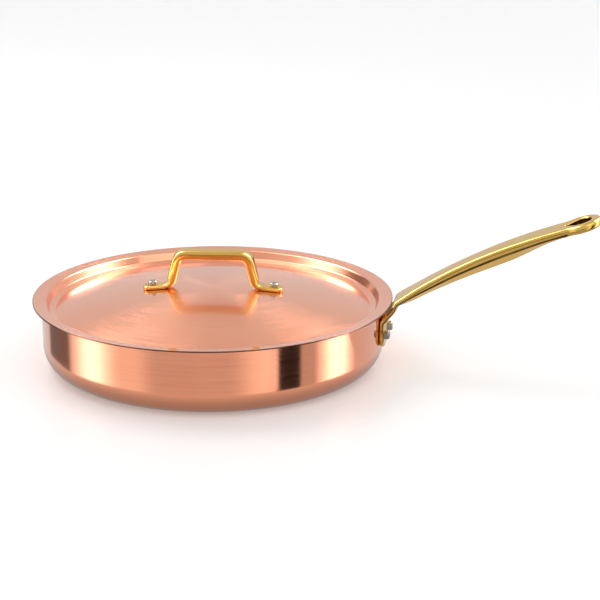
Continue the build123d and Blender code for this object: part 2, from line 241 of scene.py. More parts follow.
def even_skin(piece: Object, voxel: float, smoothing: int) -> None:
    """Melts overlapping closed shapes into one even, softly polished skin."""
    remesh = piece.modifiers.new("even_skin", "REMESH")
    remesh.mode = "VOXEL"
    remesh.voxel_size = voxel
    remesh.use_smooth_shade = True
    smooth = piece.modifiers.new("polish", "SMOOTH")
    smooth.factor = 0.5
    smooth.iterations = smoothing
    baked_modifiers(piece)


def settle(piece: Object, body: Body, slot: Slot, material: Material, *nodes: str) -> None:
    """Dresses a piece and puts it on its body and in place of its CAD nodes."""
    piece.data.materials.clear()
    piece.data.materials.append(material)
    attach(piece, body.value)
    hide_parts(*nodes)
    LOG.info("%s: %d faces on %s", piece.name, len(piece.data.polygons), body.value)


class NodeSheet:
    """Adds nodes to one node tree and links them."""

    def __init__(self, tree: NodeTree) -> None:
        """Keeps the tree that the nodes go into."""
        self.tree = tree

    def fill(self, node: Node, inputs: dict) -> None:
        """Sets inputs of a node, each to a plain value or to another node's output."""
        for key, value in inputs.items():
            if isinstance(value, NodeSocket):
                self.tree.links.new(value, node.inputs[key])
            else:
                node.inputs[key].default_value = value

    def add(self, kind: str, inputs: dict | None = None, **settings: object) -> Node:
        """Adds a node.

        Args:
            kind: The node's type name.
            inputs: Socket name or number to a plain value or to another node's output.
            **settings: Attributes of the node, set before its inputs.

        Returns:
            The new node.
        """
        node = self.tree.nodes.new(kind)
        for name, value in settings.items():
            setattr(node, name, value)
        self.fill(node, inputs or {})
        return node

    def math(self, operation: str, *values: object) -> NodeSocket:
        """Adds a Math node and returns its output."""
        return self.add("ShaderNodeMath", dict(enumerate(values)), operation=operation).outputs[0]

    def vector_math(self, operation: str, *values: object) -> Node:
        """Adds a Vector Math node."""
        return self.add("ShaderNodeVectorMath", dict(enumerate(values)), operation=operation)

    def mix(self, share: object, first: object, second: object) -> NodeSocket:
        """Adds a Mix node for numbers and returns its result."""
        return self.add("ShaderNodeMix", {0: share, 2: first, 3: second}, data_type="FLOAT").outputs[0]

    def mix_colour(self, share: object, first: object, second: object) -> NodeSocket:
        """Adds a Mix node for colours and returns its result."""
        return self.add("ShaderNodeMix", {0: share, 6: first, 7: second}, data_type="RGBA").outputs[2]

    def range(
        self, value: object, low: float, high: float, to_low: float = 0.0, to_high: float = 1.0
    ) -> NodeSocket:
        """Adds a smooth Map Range node and returns its value."""
        inputs = {0: value, 1: low, 2: high, 3: to_low, 4: to_high}
        return self.add("ShaderNodeMapRange", inputs, interpolation_type="SMOOTHSTEP").outputs[0]

    def even(self, noise: object, to_low: float = 0.0, to_high: float = 1.0) -> NodeSocket:
        """Spreads the middle of a noise, where nearly all its values lie, over a range."""
        low, high = 0.35, 0.65
        return self.range(noise, low, high, to_low, to_high)

    def noise(self, place: object, scale: float, detail: float) -> NodeSocket:
        """Adds a Noise Texture node and returns its value."""
        inputs = {"Vector": place, "Scale": scale, "Detail": detail}
        return self.add("ShaderNodeTexNoise", inputs).outputs[0]

    def from_axis(self, place: object) -> tuple[NodeSocket, NodeSocket]:
        """Lays a place flat and returns it with its distance from the vertical axis."""
        flat = self.vector_math("MULTIPLY", place, FLATTEN).outputs[0]
        return flat, self.vector_math("LENGTH", flat).outputs["Value"]

    def bump(self, height: object, depth: float) -> NodeSocket:
        """Adds a Bump node of this depth and returns its normal."""
        inputs = {"Strength": 1.0, "Distance": depth, "Height": height}
        return self.add("ShaderNodeBump", inputs).outputs[0]


def new_group(
    name: str, inputs: dict[str, str], outputs: dict[str, str], kind: str = "ShaderNodeTree"
) -> tuple[NodeSheet, Node, Node]:
    """Starts a node group.

    Args:
        name: Name of the group.
        inputs: Input names to the kinds of their sockets.
        outputs: Output names to the kinds of their sockets.
        kind: Type of the node tree.

    Returns:
        The sheet of its tree, its Group Input and its Group Output.
    """
    tree = bpy.data.node_groups.new(name, kind)
    for side, sockets in (("INPUT", inputs), ("OUTPUT", outputs)):
        for label, socket in sockets.items():
            tree.interface.new_socket(label, in_out=side, socket_type="NodeSocket" + socket)
    sheet = NodeSheet(tree)
    return sheet, sheet.add("NodeGroupInput"), sheet.add("NodeGroupOutput")


def new_material(name: str) -> tuple[Material, NodeSheet, Node]:
    """Starts a material and returns it with the sheet of its nodes and its shader."""
    made = bpy.data.materials.new(name)
    made.use_nodes = True
    return made, NodeSheet(made.node_tree), made.node_tree.nodes["Principled BSDF"]


def turned_lines_group() -> NodeTree:
    """The fine lines that turning and brushing leave round an axis.

    Returns:
        A group with Vector and two pitches in and Fine, Streak and Clouds out, each from 0 to 1.
    """
    sheet, entry, leave = new_group(
        "TurnedLines",
        {"Vector": "Vector", "Fine Pitch": "Float", "Streak Pitch": "Float"},
        {"Fine": "Float", "Streak": "Float", "Clouds": "Float"},
    )
    where = entry.outputs["Vector"]
    flat, reach = sheet.from_axis(where)
    spoke = sheet.vector_math("NORMALIZE", flat).outputs[0]
    height = sheet.add("ShaderNodeSeparateXYZ", {0: where}).outputs[2]
    along = sheet.math("ADD", reach, height)
    for label, length_share, detail in (("Fine", 2.2, 3.0), ("Streak", 1.3, 2.0)):
        count = sheet.math("DIVIDE", along, entry.outputs[label + " Pitch"])
        around = sheet.add("ShaderNodeVectorMath", {0: spoke, "Scale": length_share}, operation="SCALE")
        lifted = sheet.add("ShaderNodeCombineXYZ", {2: count})
        place = sheet.vector_math("ADD", around.outputs[0], lifted.outputs[0]).outputs[0]
        sheet.fill(leave, {label: sheet.noise(place, 1.0, detail)})
    sheet.fill(leave, {"Clouds": sheet.noise(where, scale=22.0, detail=3.0)})
    return sheet.tree


def edge_wear_and_hollow_shade_group() -> NodeTree:
    """Where edges are rubbed bright and where hollows get a painted shade.

    Returns:
        A group with Vector and Patchiness in and Edges and Hollows out, each from 0 to 1.
    """
    sheet, entry, leave = new_group(
        "EdgeWearAndHollowShade",
        {"Vector": "Vector", "Patchiness": "Float"},
        {"Edges": "Float", "Hollows": "Float"},
    )
    patch_scale, patch_detail = 160.0, 4.0
    edge_from, edge_full = 0.55, 0.66
    hollow_from, hollow_full = 0.43, 0.34
    bend = sheet.add("ShaderNodeNewGeometry").outputs["Pointiness"]
    cloudy = sheet.noise(entry.outputs["Vector"], patch_scale, patch_detail)
    patches = sheet.math("SUBTRACT", cloudy, 0.5)
    rubbed = sheet.math("ADD", bend, sheet.math("MULTIPLY", patches, entry.outputs["Patchiness"]))
    edges = sheet.range(rubbed, edge_from, edge_full)
    # Hollows is a painted shade, darker where the surface is concave.
    sheet.fill(leave, {"Edges": edges, "Hollows": sheet.range(bend, hollow_from, hollow_full)})
    return sheet.tree


@dataclass(frozen=True)
class TurnedMetal:
    """A sheet metal that was spun and brushed round the vertical axis.

    It is painted dark, a painted shade, from the distance shaded_beyond outward, which is a metre, so
    nowhere, by default.
    """

    name: str
    colour: Colour
    warm_colour: Colour
    roughness: float
    anisotropy: float
    line_depth: float
    roughness_spread: float = 0.06
    fine_pitch: float = 0.3 * MM
    streak_pitch: float = 0.9 * MM
    cloud_share: float = 0.55
    fine_share: float = 0.85
    streak_height: float = 0.3
    grain_turn: float = 0.25
    shaded_beyond: float = 1.0
    shade_depth: float = 1.2 * MM
    shade_share: float = 0.95
    shade_colour: Colour = (0.07, 0.022, 0.01, 1.0)
    lacquer: float = 0.0
    lacquer_index: float = 1.7
    lacquer_roughness: float = 0.06

    def material(self, lines: NodeTree) -> Material:
        """Builds the finish.

        Args:
            lines: The group of turned lines.

        Returns:
            The material.
        """
        made, sheet, shader = new_material(self.name)
        where = sheet.add("ShaderNodeTexCoord").outputs["Object"]
        inputs = {"Vector": where, "Fine Pitch": self.fine_pitch, "Streak Pitch": self.streak_pitch}
        turned = sheet.add("ShaderNodeGroup", inputs, node_tree=lines)
        streak, fine, clouds = (turned.outputs[name] for name in ("Streak", "Fine", "Clouds"))
        # Painted shade: the colour darkens to shade_colour beyond shaded_beyond from the axis.
        away = sheet.from_axis(where)[1]
        shade_end = self.shaded_beyond + self.shade_depth
        shade = sheet.range(away, self.shaded_beyond, shade_end, to_high=self.shade_share)
        tone = sheet.even(sheet.mix(self.cloud_share, streak, clouds))
        base = sheet.mix_colour(tone, self.colour, self.warm_colour)
        low, high = self.roughness - self.roughness_spread, self.roughness + self.roughness_spread
        tangent = sheet.add("ShaderNodeTangent", direction_type="RADIAL", axis="Z")
        sheet.fill(
            shader,
            {
                "Base Color": sheet.mix_colour(shade, base, self.shade_colour),
                "Roughness": sheet.even(sheet.mix(self.fine_share, streak, fine), low, high),
                "Normal": sheet.bump(sheet.mix(self.streak_height, fine, streak), self.line_depth),
                "Tangent": tangent.outputs[0],
                "Metallic": 1.0,
                "Anisotropic": self.anisotropy,
                "Anisotropic Rotation": self.grain_turn,
                "Coat Weight": self.lacquer,
                "Coat IOR": self.lacquer_index,
                "Coat Roughness": self.lacquer_roughness,
            },
        )
        return made


@dataclass(frozen=True)
class PolishedCasting:
    """A cast metal that was ground and polished by hand."""

    name: str
    colour: Colour
    painted_shade_colour: Colour
    edge_colour: Colour
    roughness: float
    roughness_spread: float
    grain: float
    grain_depth: float
    grain_tilt: float = math.radians(28)
    grain_stretch: float = 0.12
    patchiness: float = 0.04
    cloud_scale: float = 45.0
    cloud_height: float = 0.6
    least_painted_shade: float = 0.75

    def material(self, wear_and_shade: NodeTree) -> Material:
        """Builds the finish.

        Args:
            wear_and_shade: The group of rubbed edges and painted shade in hollows.

        Returns:
            The material.
        """
        made, sheet, shader = new_material(self.name)
        where = sheet.add("ShaderNodeTexCoord").outputs["Object"]
        inputs = {"Vector": where, "Patchiness": self.patchiness}
        worn_and_shaded = sheet.add("ShaderNodeGroup", inputs, node_tree=wear_and_shade)
        turn = {"Vector": where, "Angle": self.grain_tilt}
        level = sheet.add("ShaderNodeVectorRotate", turn, rotation_type="Y_AXIS").outputs[0]
        long_marks = {"Vector": level, "Scale": (self.grain_stretch, 1.0, 1.0)}
        marks = sheet.noise(sheet.add("ShaderNodeMapping", long_marks).outputs[0], self.grain, 5.0)
        clouds = sheet.noise(where, self.cloud_scale, 2.0)
        # A painted dark reflection along the handle's crease and painted shade inside its eye's hole,
        # from a written attribute.
        painted_shade = sheet.add("ShaderNodeAttribute", attribute_name="painted_shade").outputs["Fac"]
        patches = sheet.range(clouds, 0.2, 0.6, to_low=self.least_painted_shade)
        base = self.colour
        # The first two mixes are the metal's own tone and rubbed edges; the last two paint shade in
        # hollows, along the handle's crease and inside its eye's hole.
        for share, colour in (
            (sheet.even(clouds, 0.0, 0.5), self.edge_colour),
            (worn_and_shaded.outputs["Edges"], self.edge_colour),
            (worn_and_shaded.outputs["Hollows"], self.painted_shade_colour),
            (sheet.math("MULTIPLY", painted_shade, patches), self.painted_shade_colour),
        ):
            base = sheet.mix_colour(share, base, colour)
        low, high = self.roughness - self.roughness_spread, self.roughness + self.roughness_spread
        height = sheet.math("ADD", marks, sheet.math("MULTIPLY", clouds, self.cloud_height))
        sheet.fill(
            shader,
            {
                "Base Color": base,
                "Roughness": sheet.range(marks, 0.3, 0.7, low, high),
                "Normal": sheet.bump(height, self.grain_depth),
                "Metallic": 1.0,
            },
        )
        return made


@dataclass(frozen=True)
class Finishes:
    """Every finish of the pan, built once."""

    copper: TurnedMetal = TurnedMetal(
        name="turned_copper",
        colour=(0.93, 0.36, 0.20, 1.0),
        warm_colour=(0.92, 0.335, 0.18, 1.0),
        roughness=0.12,
        anisotropy=0.8,
        line_depth=0.0007 * MM,
        lacquer=0.55,
    )
    lid_copper: TurnedMetal = TurnedMetal(
        name="brushed_lid_copper",
        colour=(0.95, 0.39, 0.225, 1.0),
        warm_colour=(0.94, 0.365, 0.20, 1.0),
        roughness=0.2,
        anisotropy=0.9,
        line_depth=0.0004 * MM,
        # Painted shade along the flange's outer edge, standing in for the dark gap under it.
        shaded_beyond=148.0 * MM,
        lacquer=0.55,
    )
    lining: TurnedMetal = TurnedMetal(
        name="brushed_lining",
        colour=(0.60, 0.59, 0.57, 1.0),
        warm_colour=(0.52, 0.51, 0.49, 1.0),
        roughness=0.32,
        anisotropy=0.7,
        fine_pitch=0.4 * MM,
        streak_pitch=1.8 * MM,
        line_depth=0.006 * MM,
        # Painted shade on the lining's edge under the flange.
        shaded_beyond=147.6 * MM,
    )
    brass: PolishedCasting = PolishedCasting(
        name="cast_brass",
        colour=(0.76, 0.46, 0.11, 1.0),
        painted_shade_colour=(0.07, 0.032, 0.006, 1.0),
        edge_colour=(0.83, 0.53, 0.15, 1.0),
        roughness=0.15,
        roughness_spread=0.02,
        grain=520.0,
        grain_depth=0.001 * MM,
    )
    rivet: PolishedCasting = PolishedCasting(
        name="rivet_steel",
        colour=(0.33, 0.30, 0.27, 1.0),
        painted_shade_colour=(0.09, 0.075, 0.06, 1.0),
        edge_colour=(0.52, 0.49, 0.46, 1.0),
        roughness=0.24,
        roughness_spread=0.06,
        grain=900.0,
        grain_depth=0.008 * MM,
    )

    def build(self) -> Materials:
        """Makes the materials, by name."""
        lines, wear_and_shade = turned_lines_group(), edge_wear_and_hollow_shade_group()
        turned, cast = (self.copper, self.lid_copper, self.lining), (self.brass, self.rivet)
        made = {finish.name: finish.material(lines) for finish in turned}
        made.update({finish.name: finish.material(wear_and_shade) for finish in cast})
        return made


@dataclass
class PanBody:
    """The copper pan and the steel lining bonded inside it."""

    wall_radius: float = 141.7 * MM
    copper: float = 1.4 * MM
    lining: float = 0.3 * MM
    height: float = 55.5 * MM
    corner: float = 21.0 * MM
    rim_round: float = 0.6 * MM
    longest_step: float = 4.0 * MM

    def wall_path(self, inset: float) -> list[Point]:
        """Path from the axis along the floor and up the wall, this far inside the outer face."""
        radius = self.wall_radius - inset
        corners = [(0.0, inset), (radius, inset), (radius, self.height)]
        return rounded_path(corners, [self.corner - inset], self.longest_step)

    def shell(self) -> Object:
        """The copper shell, with its rim rounded outside."""
        rim_start = (self.wall_radius, self.height - self.rim_round * 2)
        outer = self.wall_path(0.0)[:-1]
        rim = rounded_path(
            [rim_start, (self.wall_radius, self.height), (self.wall_radius - self.copper, self.height)],
            [self.rim_round],
            self.longest_step,
        )
        inner = list(reversed(self.wall_path(self.copper)))
        return turned_mesh("pan_shell_copper", outer + rim + inner[1:], sharp_angle=40)

    def lining_sheet(self) -> Object:
        """The steel lining."""
        outer = self.wall_path(self.copper)
        inner = list(reversed(self.wall_path(self.copper + self.lining)))
        return turned_mesh("pan_lining_steel", outer + inner, sharp_angle=40)

    def build(self, materials: Materials) -> None:
        """Makes and dresses both sheets."""
        settle(self.shell(), Body.PAN, Slot.COPPER, materials["turned_copper"], "pan_shell")
        settle(self.lining_sheet(), Body.PAN, Slot.LINING, materials["brushed_lining"], "pan_lining")


@dataclass
class LidBody:
    """The lid's copper sheet, with flange, step, ledge and dome, and the lining under it."""

    pan: PanBody
    flange_overhang: float = 7.4 * MM
    flange_slope: float = math.radians(6.8)
    copper: float = 0.8 * MM
    lining: float = 0.25 * MM
    seat_gap: float = 0.3 * MM
    side_clearance: float = 0.4 * MM
    step_depth: float = 6.0 * MM
    step_lean: float = math.radians(27)
    step_top_bend: float = 1.6 * MM
    step_foot_bend: float = 0.9 * MM
    ledge_width: float = 4.8 * MM
    ledge_drop: float = 2.1 * MM
    dome_rise: float = 15.6 * MM
    edge_round: float = 0.3 * MM
    edge_trim: float = 0.05 * MM
    longest_step: float = 4.0 * MM

    def __post_init__(self) -> None:
        """Works out the heights and radii of the sheet's upper face."""
        sheet = self.copper + self.lining
        gradient = math.tan(self.flange_slope)
        inside = self.pan.wall_radius - self.pan.copper - self.pan.lining
        self.flange_radius = self.pan.wall_radius + self.flange_overhang - self.edge_trim
        self.step_top_radius = inside - self.side_clearance - sheet / math.cos(self.step_lean)
        seat = self.pan.height + self.seat_gap + sheet / math.cos(self.flange_slope)
        self.step_top_height = seat - (inside - self.step_top_radius) * gradient
        self.flange_height = seat + (self.flange_radius - inside) * gradient
        self.step_foot_radius = self.step_top_radius - self.step_depth * math.tan(self.step_lean)
        self.step_foot_height = self.step_top_height - self.step_depth
        self.dome_radius = self.step_foot_radius - self.ledge_width
        self.dome_edge_height = self.step_foot_height - self.ledge_drop
        self.dome_top = self.dome_edge_height + self.dome_rise
        self.sphere_radius = (self.dome_radius**2 + self.dome_rise**2) / (2 * self.dome_rise)

    def dome_height(self, radius: float) -> float:
        """Height of the dome's upper face at this distance from the axis."""
        return self.dome_top - self.sphere_radius + math.sqrt(self.sphere_radius**2 - radius**2)

    def upper_path(self) -> list[Point]:
        """Path of the sheet's upper face from the dome's top out to the flange's edge."""
        steps = math.ceil(self.dome_radius / self.longest_step)
        radii = [self.dome_radius * number / steps for number in range(steps)]
        dome = [(radius, self.dome_height(radius)) for radius in radii]
        rest = rounded_path(
            [
                (self.dome_radius, self.dome_edge_height),
                (self.step_foot_radius, self.step_foot_height),
                (self.step_top_radius, self.step_top_height),
                (self.flange_radius, self.flange_height),
            ],
            [self.step_foot_bend, self.step_top_bend],
            self.longest_step / 2,
        )
        return dome + rest

    def build(self, materials: Materials) -> None:
        """Makes and dresses the copper sheet and its lining."""
        top = self.upper_path()
        middle = beside_path(top, self.copper)
        bottom = beside_path(top, self.copper + self.lining)
        rolled = fixed_round(top[-2], top[-1], middle[-1], self.edge_round, count=6)
        sheet = top[:-1] + rolled + list(reversed(middle))
        shell = turned_mesh("lid_shell_copper", sheet, sharp_angle=32)
        settle(shell, Body.LID, Slot.COPPER, materials["brushed_lid_copper"], "lid_shell")
        trimmed = fixed_round(middle[-1], bottom[-1], bottom[-2], self.edge_round / 2, count=4)
        sheet = middle + trimmed + list(reversed(bottom[:-1]))
        lining = turned_mesh("lid_lining_steel", sheet, sharp_angle=32)
        settle(lining, Body.LID, Slot.LINING, materials["brushed_lining"], "lid_lining")


@dataclass
class LongHandle:
    """The long brass handle: a plate riveted to the wall, a neck, a keeled grip and an eye.

    Its upper line climbs from the plate's foot. Each table of stops gives a size of the
    section at distances along that line, all in metres.
    """

    pan: PanBody
    plate_foot: float = 22.8 * MM
    plate_corner: float = 8.0 * MM
    seat_gap: float = 0.1 * MM
    back_line: float = 139.9 * MM
    plate_top: float = 41.3 * MM
    neck_bend: float = 7.0 * MM
    neck_slope: float = math.radians(48)
    neck_length: float = 10.7 * MM
    rise_bend: float = 6.0 * MM
    rise_slope: float = math.radians(78)
    rise_length: float = 4.0 * MM
    shoulder_bend: float = 8.0 * MM
    grip_slope: float = math.radians(35.45)
    grip_bend: float = 470.0 * MM
    grip_length: float = 132.8 * MM
    eye_overlap: float = 19.0 * MM
    eye_reach: float = 32.3 * MM
    eye_radius: float = 16.3 * MM
    eye_neck_half: float = 13.1 * MM
    eye_blend: float = 1.6 * MM
    eye_edge_round: float = 2.9 * MM
    hole_radius: float = 8.6 * MM
    hole_tip_radius: float = 1.4 * MM
    hole_tip_reach: float = 12.2 * MM
    hole_round: float = 0.9 * MM
    hole_skin: float = 0.45 * MM
    keel_most: float = 0.87
    flank_round: float = 0.9 * MM
    keel_round: float = 1.6 * MM
    top_points: int = 9
    edge_points: int = 8
    flank_points: int = 6
    eye_corner_points: int = 7
    eye_spokes: int = 220
    crease_steps: int = 5
    crease_sunk: float = 0.4 * MM
    crease_half: float = 0.85 * MM
    step: float = 1.1 * MM
    voxel: float = 0.46 * MM
    smoothing: int = 36
    half_widths: tuple[Point, ...] = millimetres(
        (0, 18.5), (14, 18.2), (23, 17.1), (32, 16.1), (44, 15.4), (51, 14.2), (61, 12.6),
        (73, 11.7), (95, 11.0), (113, 11.0), (130, 11.5), (147, 12.1), (163, 12.55), (189, 13.1),
    )
    depths: tuple[Point, ...] = millimetres(
        (0, 5.3), (8, 5.6), (16, 5.9), (25, 6.0), (32, 5.4), (38, 5.0), (46, 6.9), (54, 8.5), (63, 9.2),
        (75, 10.2), (95, 11.8), (113, 13.0), (130, 13.8), (145, 13.8), (157, 12.6), (168, 10.6),
        (178, 8.6), (189, 7.1),
    )
    edge_depths: tuple[Point, ...] = millimetres(
        (0, 4.7), (10, 4.7), (20, 3.9), (30, 3.4), (44, 3.7), (61, 4.7), (73, 5.4), (95, 5.9),
        (113, 6.2), (147, 6.3), (163, 6.0), (178, 5.6), (189, 5.4),
    )
    keels: tuple[Point, ...] = millimetres(
        (0, 8.5), (14, 6.5), (25, 4.2), (44, 5.0), (61, 4.9), (73, 4.2), (95, 3.5), (113, 3.2),
        (147, 3.2), (163, 4.4), (178, 8.2), (189, 11.3),
    )
    edge_rounds: tuple[Point, ...] = millimetres(
        (0, 1.2), (35, 1.3), (44, 1.9), (61, 2.6), (95, 2.8), (189, 2.8),
    )

    def climb(self, angle: float) -> Vector:
        """Unit vector away from the pan that climbs at this angle."""
        return Vector((math.cos(angle), 0, math.sin(angle)))

    def upper_line(self) -> list[tuple[Vector, float]]:
        """Places on the handle's upper line, each with the angle at which it climbs there."""
        upright = math.pi / 2
        place = Vector((self.back_line, 0, self.plate_foot))
        line = [(place, upright)]
        neck_turn, rise_turn = upright - self.neck_slope, self.rise_slope - self.neck_slope
        shoulder_turn = self.rise_slope - self.grip_slope
        shoulder_cut = self.shoulder_bend * math.tan(shoulder_turn / 2)
        runs = [
            (self.plate_top - self.plate_foot, upright, 0.0),
            (self.neck_bend * neck_turn, upright, -1 / self.neck_bend),
            (self.neck_length, self.neck_slope, 0.0),
            (self.rise_bend * rise_turn, self.neck_slope, 1 / self.rise_bend),
            (self.rise_length - shoulder_cut, self.rise_slope, 0.0),
            (self.shoulder_bend * shoulder_turn, self.rise_slope, -1 / self.shoulder_bend),
            (self.grip_length - shoulder_cut, self.grip_slope, -1 / self.grip_bend),
            (self.eye_overlap, self.grip_slope - self.grip_length / self.grip_bend, 0.0),
        ]
        for length, angle, bend in runs:
            count = max(4, math.ceil(length / self.step))
            for _ in range(count):
                angle += bend * length / count / 2
                place = place + self.climb(angle) * (length / count)
                angle += bend * length / count / 2
                line.append((place, angle))
        return line

    def half_section(self, reach: float, place: Vector, angle: float) -> list[Point]:
        """Half of the section, as distances to the side and depths below the upper line.

        Args:
            reach: Distance along the upper line.
            place: Place on the upper line.
            angle: Angle at which the line climbs there.

        Returns:
            The same number of points for every section, from the top's middle to the keel's.
        """
        half = smooth_value(self.half_widths, reach)
        if reach < self.plate_corner:
            half -= self.plate_corner - math.sqrt(self.plate_corner**2 - (self.plate_corner - reach) ** 2)
        depth, edge = smooth_value(self.depths, reach), smooth_value(self.edge_depths, reach)
        keel = min(smooth_value(self.keels, reach), half * self.keel_most)
        edge_round = smooth_value(self.edge_rounds, reach)
        wall = self.pan.wall_radius + self.seat_gap

        def back(side: float) -> float:
            """Depth at which this place lies on the pan's wall, or none."""
            return max(0.0, (math.sqrt(wall**2 - side**2) - place.x) / math.sin(angle))

        inner = half - edge_round
        sides = [inner * number / self.top_points for number in range(self.top_points)]
        top = [(side, back(side)) for side in sides]
        upper, flank, low = (half, back(half)), (half, edge), (keel, depth)
        rest = fixed_round(top[-1], upper, flank, edge_round, self.edge_points)
        rest += fixed_round(upper, flank, low, self.flank_round, self.flank_points)
        rest += fixed_round(flank, low, (0.0, depth), self.keel_round, self.flank_points)
        return top + rest + [(0.0, depth)]

    def bar(self) -> tuple[BMesh, list[Vector]]:
        """Lofts plate, neck and grip, and notes the points of the crease along each side."""
        built = bmesh.new()
        creases: list[list[Vector]] = [[], []]
        loops = []
        reach, before = 0.0, None
        for place, angle in self.upper_line():
            reach += (place - before).length if before else 0.0
            before = place
            down = -self.climb(angle + math.pi / 2)
            half = self.half_section(reach, place, angle)
            whole = half + [(-side, depth) for side, depth in reversed(half[1:-1])]
            points = [place + down * depth + Vector((0, side, 0)) for side, depth in whole]
            loops.append([built.verts.new(point) for point in points])
            edge, wide = smooth_value(self.edge_depths, reach), smooth_value(self.half_widths, reach)
            for crease, side in zip(creases, (-wide, wide)):
                crease.append(place + down * edge + Vector((0, side, 0)))
        for first, second in zip(loops, loops[1:]):
            bridged(built, first, second)
        built.faces.new(loops[0])
        built.faces.new(loops[-1])
        shares = [number / self.crease_steps for number in range(self.crease_steps)]
        pairs = [pair for crease in creases for pair in zip(crease, crease[1:])]
        return built, [first.lerp(second, share) for first, second in pairs for share in shares]

    def outer_reach(self, turn: float) -> float:
        """Distance from the eye's middle to its outline in this direction."""
        if math.cos(turn) >= 0:
            return self.eye_radius
        low, high = self.hole_radius, self.eye_reach
        halvings = 30
        for _ in range(halvings):
            middle = (low + high) / 2
            along, aside = middle * math.cos(turn), abs(middle * math.sin(turn))
            round_half = math.sqrt(max(self.eye_radius**2 - along**2, 0.0))
            apart = self.eye_neck_half - round_half
            half = (self.eye_neck_half + round_half + math.hypot(apart, self.eye_blend)) / 2
            inside = aside < half and self.eye_reach + along > self.eye_overlap - 4 * self.step
            low, high = (middle, high) if inside else (low, middle)
        return low

    def hole_reach(self, turn: float) -> float:
        """Distance from the eye's middle to the teardrop hole's edge in this direction."""
        slant = math.asin((self.hole_radius - self.hole_tip_radius) / self.hole_tip_reach)
        turn = abs(math.remainder(turn, math.tau))
        if turn < math.pi / 2 + slant:
            return self.hole_radius
        along, aside = -math.cos(turn), math.sin(turn)
        tip = self.hole_tip_radius**2 - (self.hole_tip_reach * aside) ** 2
        straight = self.hole_radius / (math.sin(slant) * along + math.cos(slant) * aside)
        if tip < 0:
            return straight
        return min(straight, self.hole_tip_reach * along + math.sqrt(tip))

    def eye_frame(self) -> Matrix:
        """Places the eye: its middle on the top face, X along the handle, Z off that face."""
        place, angle = self.upper_line()[-1]
        along, up = self.climb(angle), self.climb(angle + math.pi / 2)
        middle = place + along * (self.eye_reach - self.eye_overlap)
        axes = Matrix((along, Vector((0, 1, 0)), up)).transposed().to_4x4()
        return Matrix.Translation(middle) @ axes

    def eye(self, built: BMesh) -> None:
        """Adds the rounded ring of the hanging eye."""
        thickness = self.depths[-1][1]
        frame_here = self.eye_frame()
        loops = []
        for number in range(self.eye_spokes):
            turn = math.tau * number / self.eye_spokes
            inner, outer = self.hole_reach(turn), self.outer_reach(turn)
            corners = [(inner, 0.0), (outer, 0.0), (outer, -thickness), (inner, -thickness)]
            rounds = [self.hole_round, self.eye_edge_round, self.eye_edge_round, self.hole_round]
            loop = []
            for place in range(4):
                before, after = corners[place - 1], corners[(place + 1) % 4]
                count = self.eye_corner_points
                loop += fixed_round(before, corners[place], after, rounds[place], count)
            spoke = Vector((math.cos(turn), math.sin(turn), 0))
            points = [frame_here @ (spoke * reach + Vector((0, 0, height))) for reach, height in loop]
            loops.append([built.verts.new(point) for point in points])
        for first, second in zip(loops, loops[1:] + loops[:1]):
            bridged(built, first, second)

    def note_painted_shade(self, piece: Object, notes: list[Vector]) -> None:
        """Writes where the metal gets painted dark: a painted dark reflection along the side's crease and
        painted shade inside the eye's hole.
        """
        tree = kdtree.KDTree(len(notes))
        for number, point in enumerate(notes):
            tree.insert(point, number)
        tree.balance()
        to_eye = self.eye_frame().inverted()
        painted_shade = piece.data.attributes.new("painted_shade", "FLOAT", "POINT")
        for vertex, item in zip(piece.data.vertices, painted_shade.data):
            away = max(tree.find(vertex.co)[2] - self.crease_sunk, 0.0)
            value = math.exp(-((away / self.crease_half) ** 2))
            at_eye = to_eye @ vertex.co
            flat = at_eye.to_2d()
            if flat.length < self.hole_reach(math.atan2(flat.y, flat.x)) + self.hole_skin / 4:
                value = 1.0 if at_eye.z < -self.hole_skin else value
            item.value = value

    def build(self, materials: Materials) -> None:
        """Melts bar and eye into one even skin and dresses it."""
        built, notes = self.bar()
        self.eye(built)
        bmesh.ops.recalc_face_normals(built, faces=built.faces)
        piece = finished_object("long_handle_brass", built, sharp_angle=180)
        even_skin(piece, self.voxel, self.smoothing)
        self.note_painted_shade(piece, notes)
        settle(piece, Body.PAN, Slot.BRASS, materials["cast_brass"], "handle")


@dataclass
class LidHandle:
    """The cast handle of the lid, made from its CAD solid."""

    voxel: float = 0.4 * MM
    smoothing: int = 8

    def build(self, materials: Materials) -> None:
        """Melts the solid's facets into one even skin and dresses it."""
        built = bmesh.new()
        built.from_mesh(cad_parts["lid_handle"].data)
        bmesh.ops.remove_doubles(built, verts=built.verts, dist=MM / 1000)
        piece = finished_object("lid_handle_brass", built, sharp_angle=180)
        even_skin(piece, self.voxel, self.smoothing)
        settle(piece, Body.LID, Slot.BRASS, materials["cast_brass"], "lid_handle")


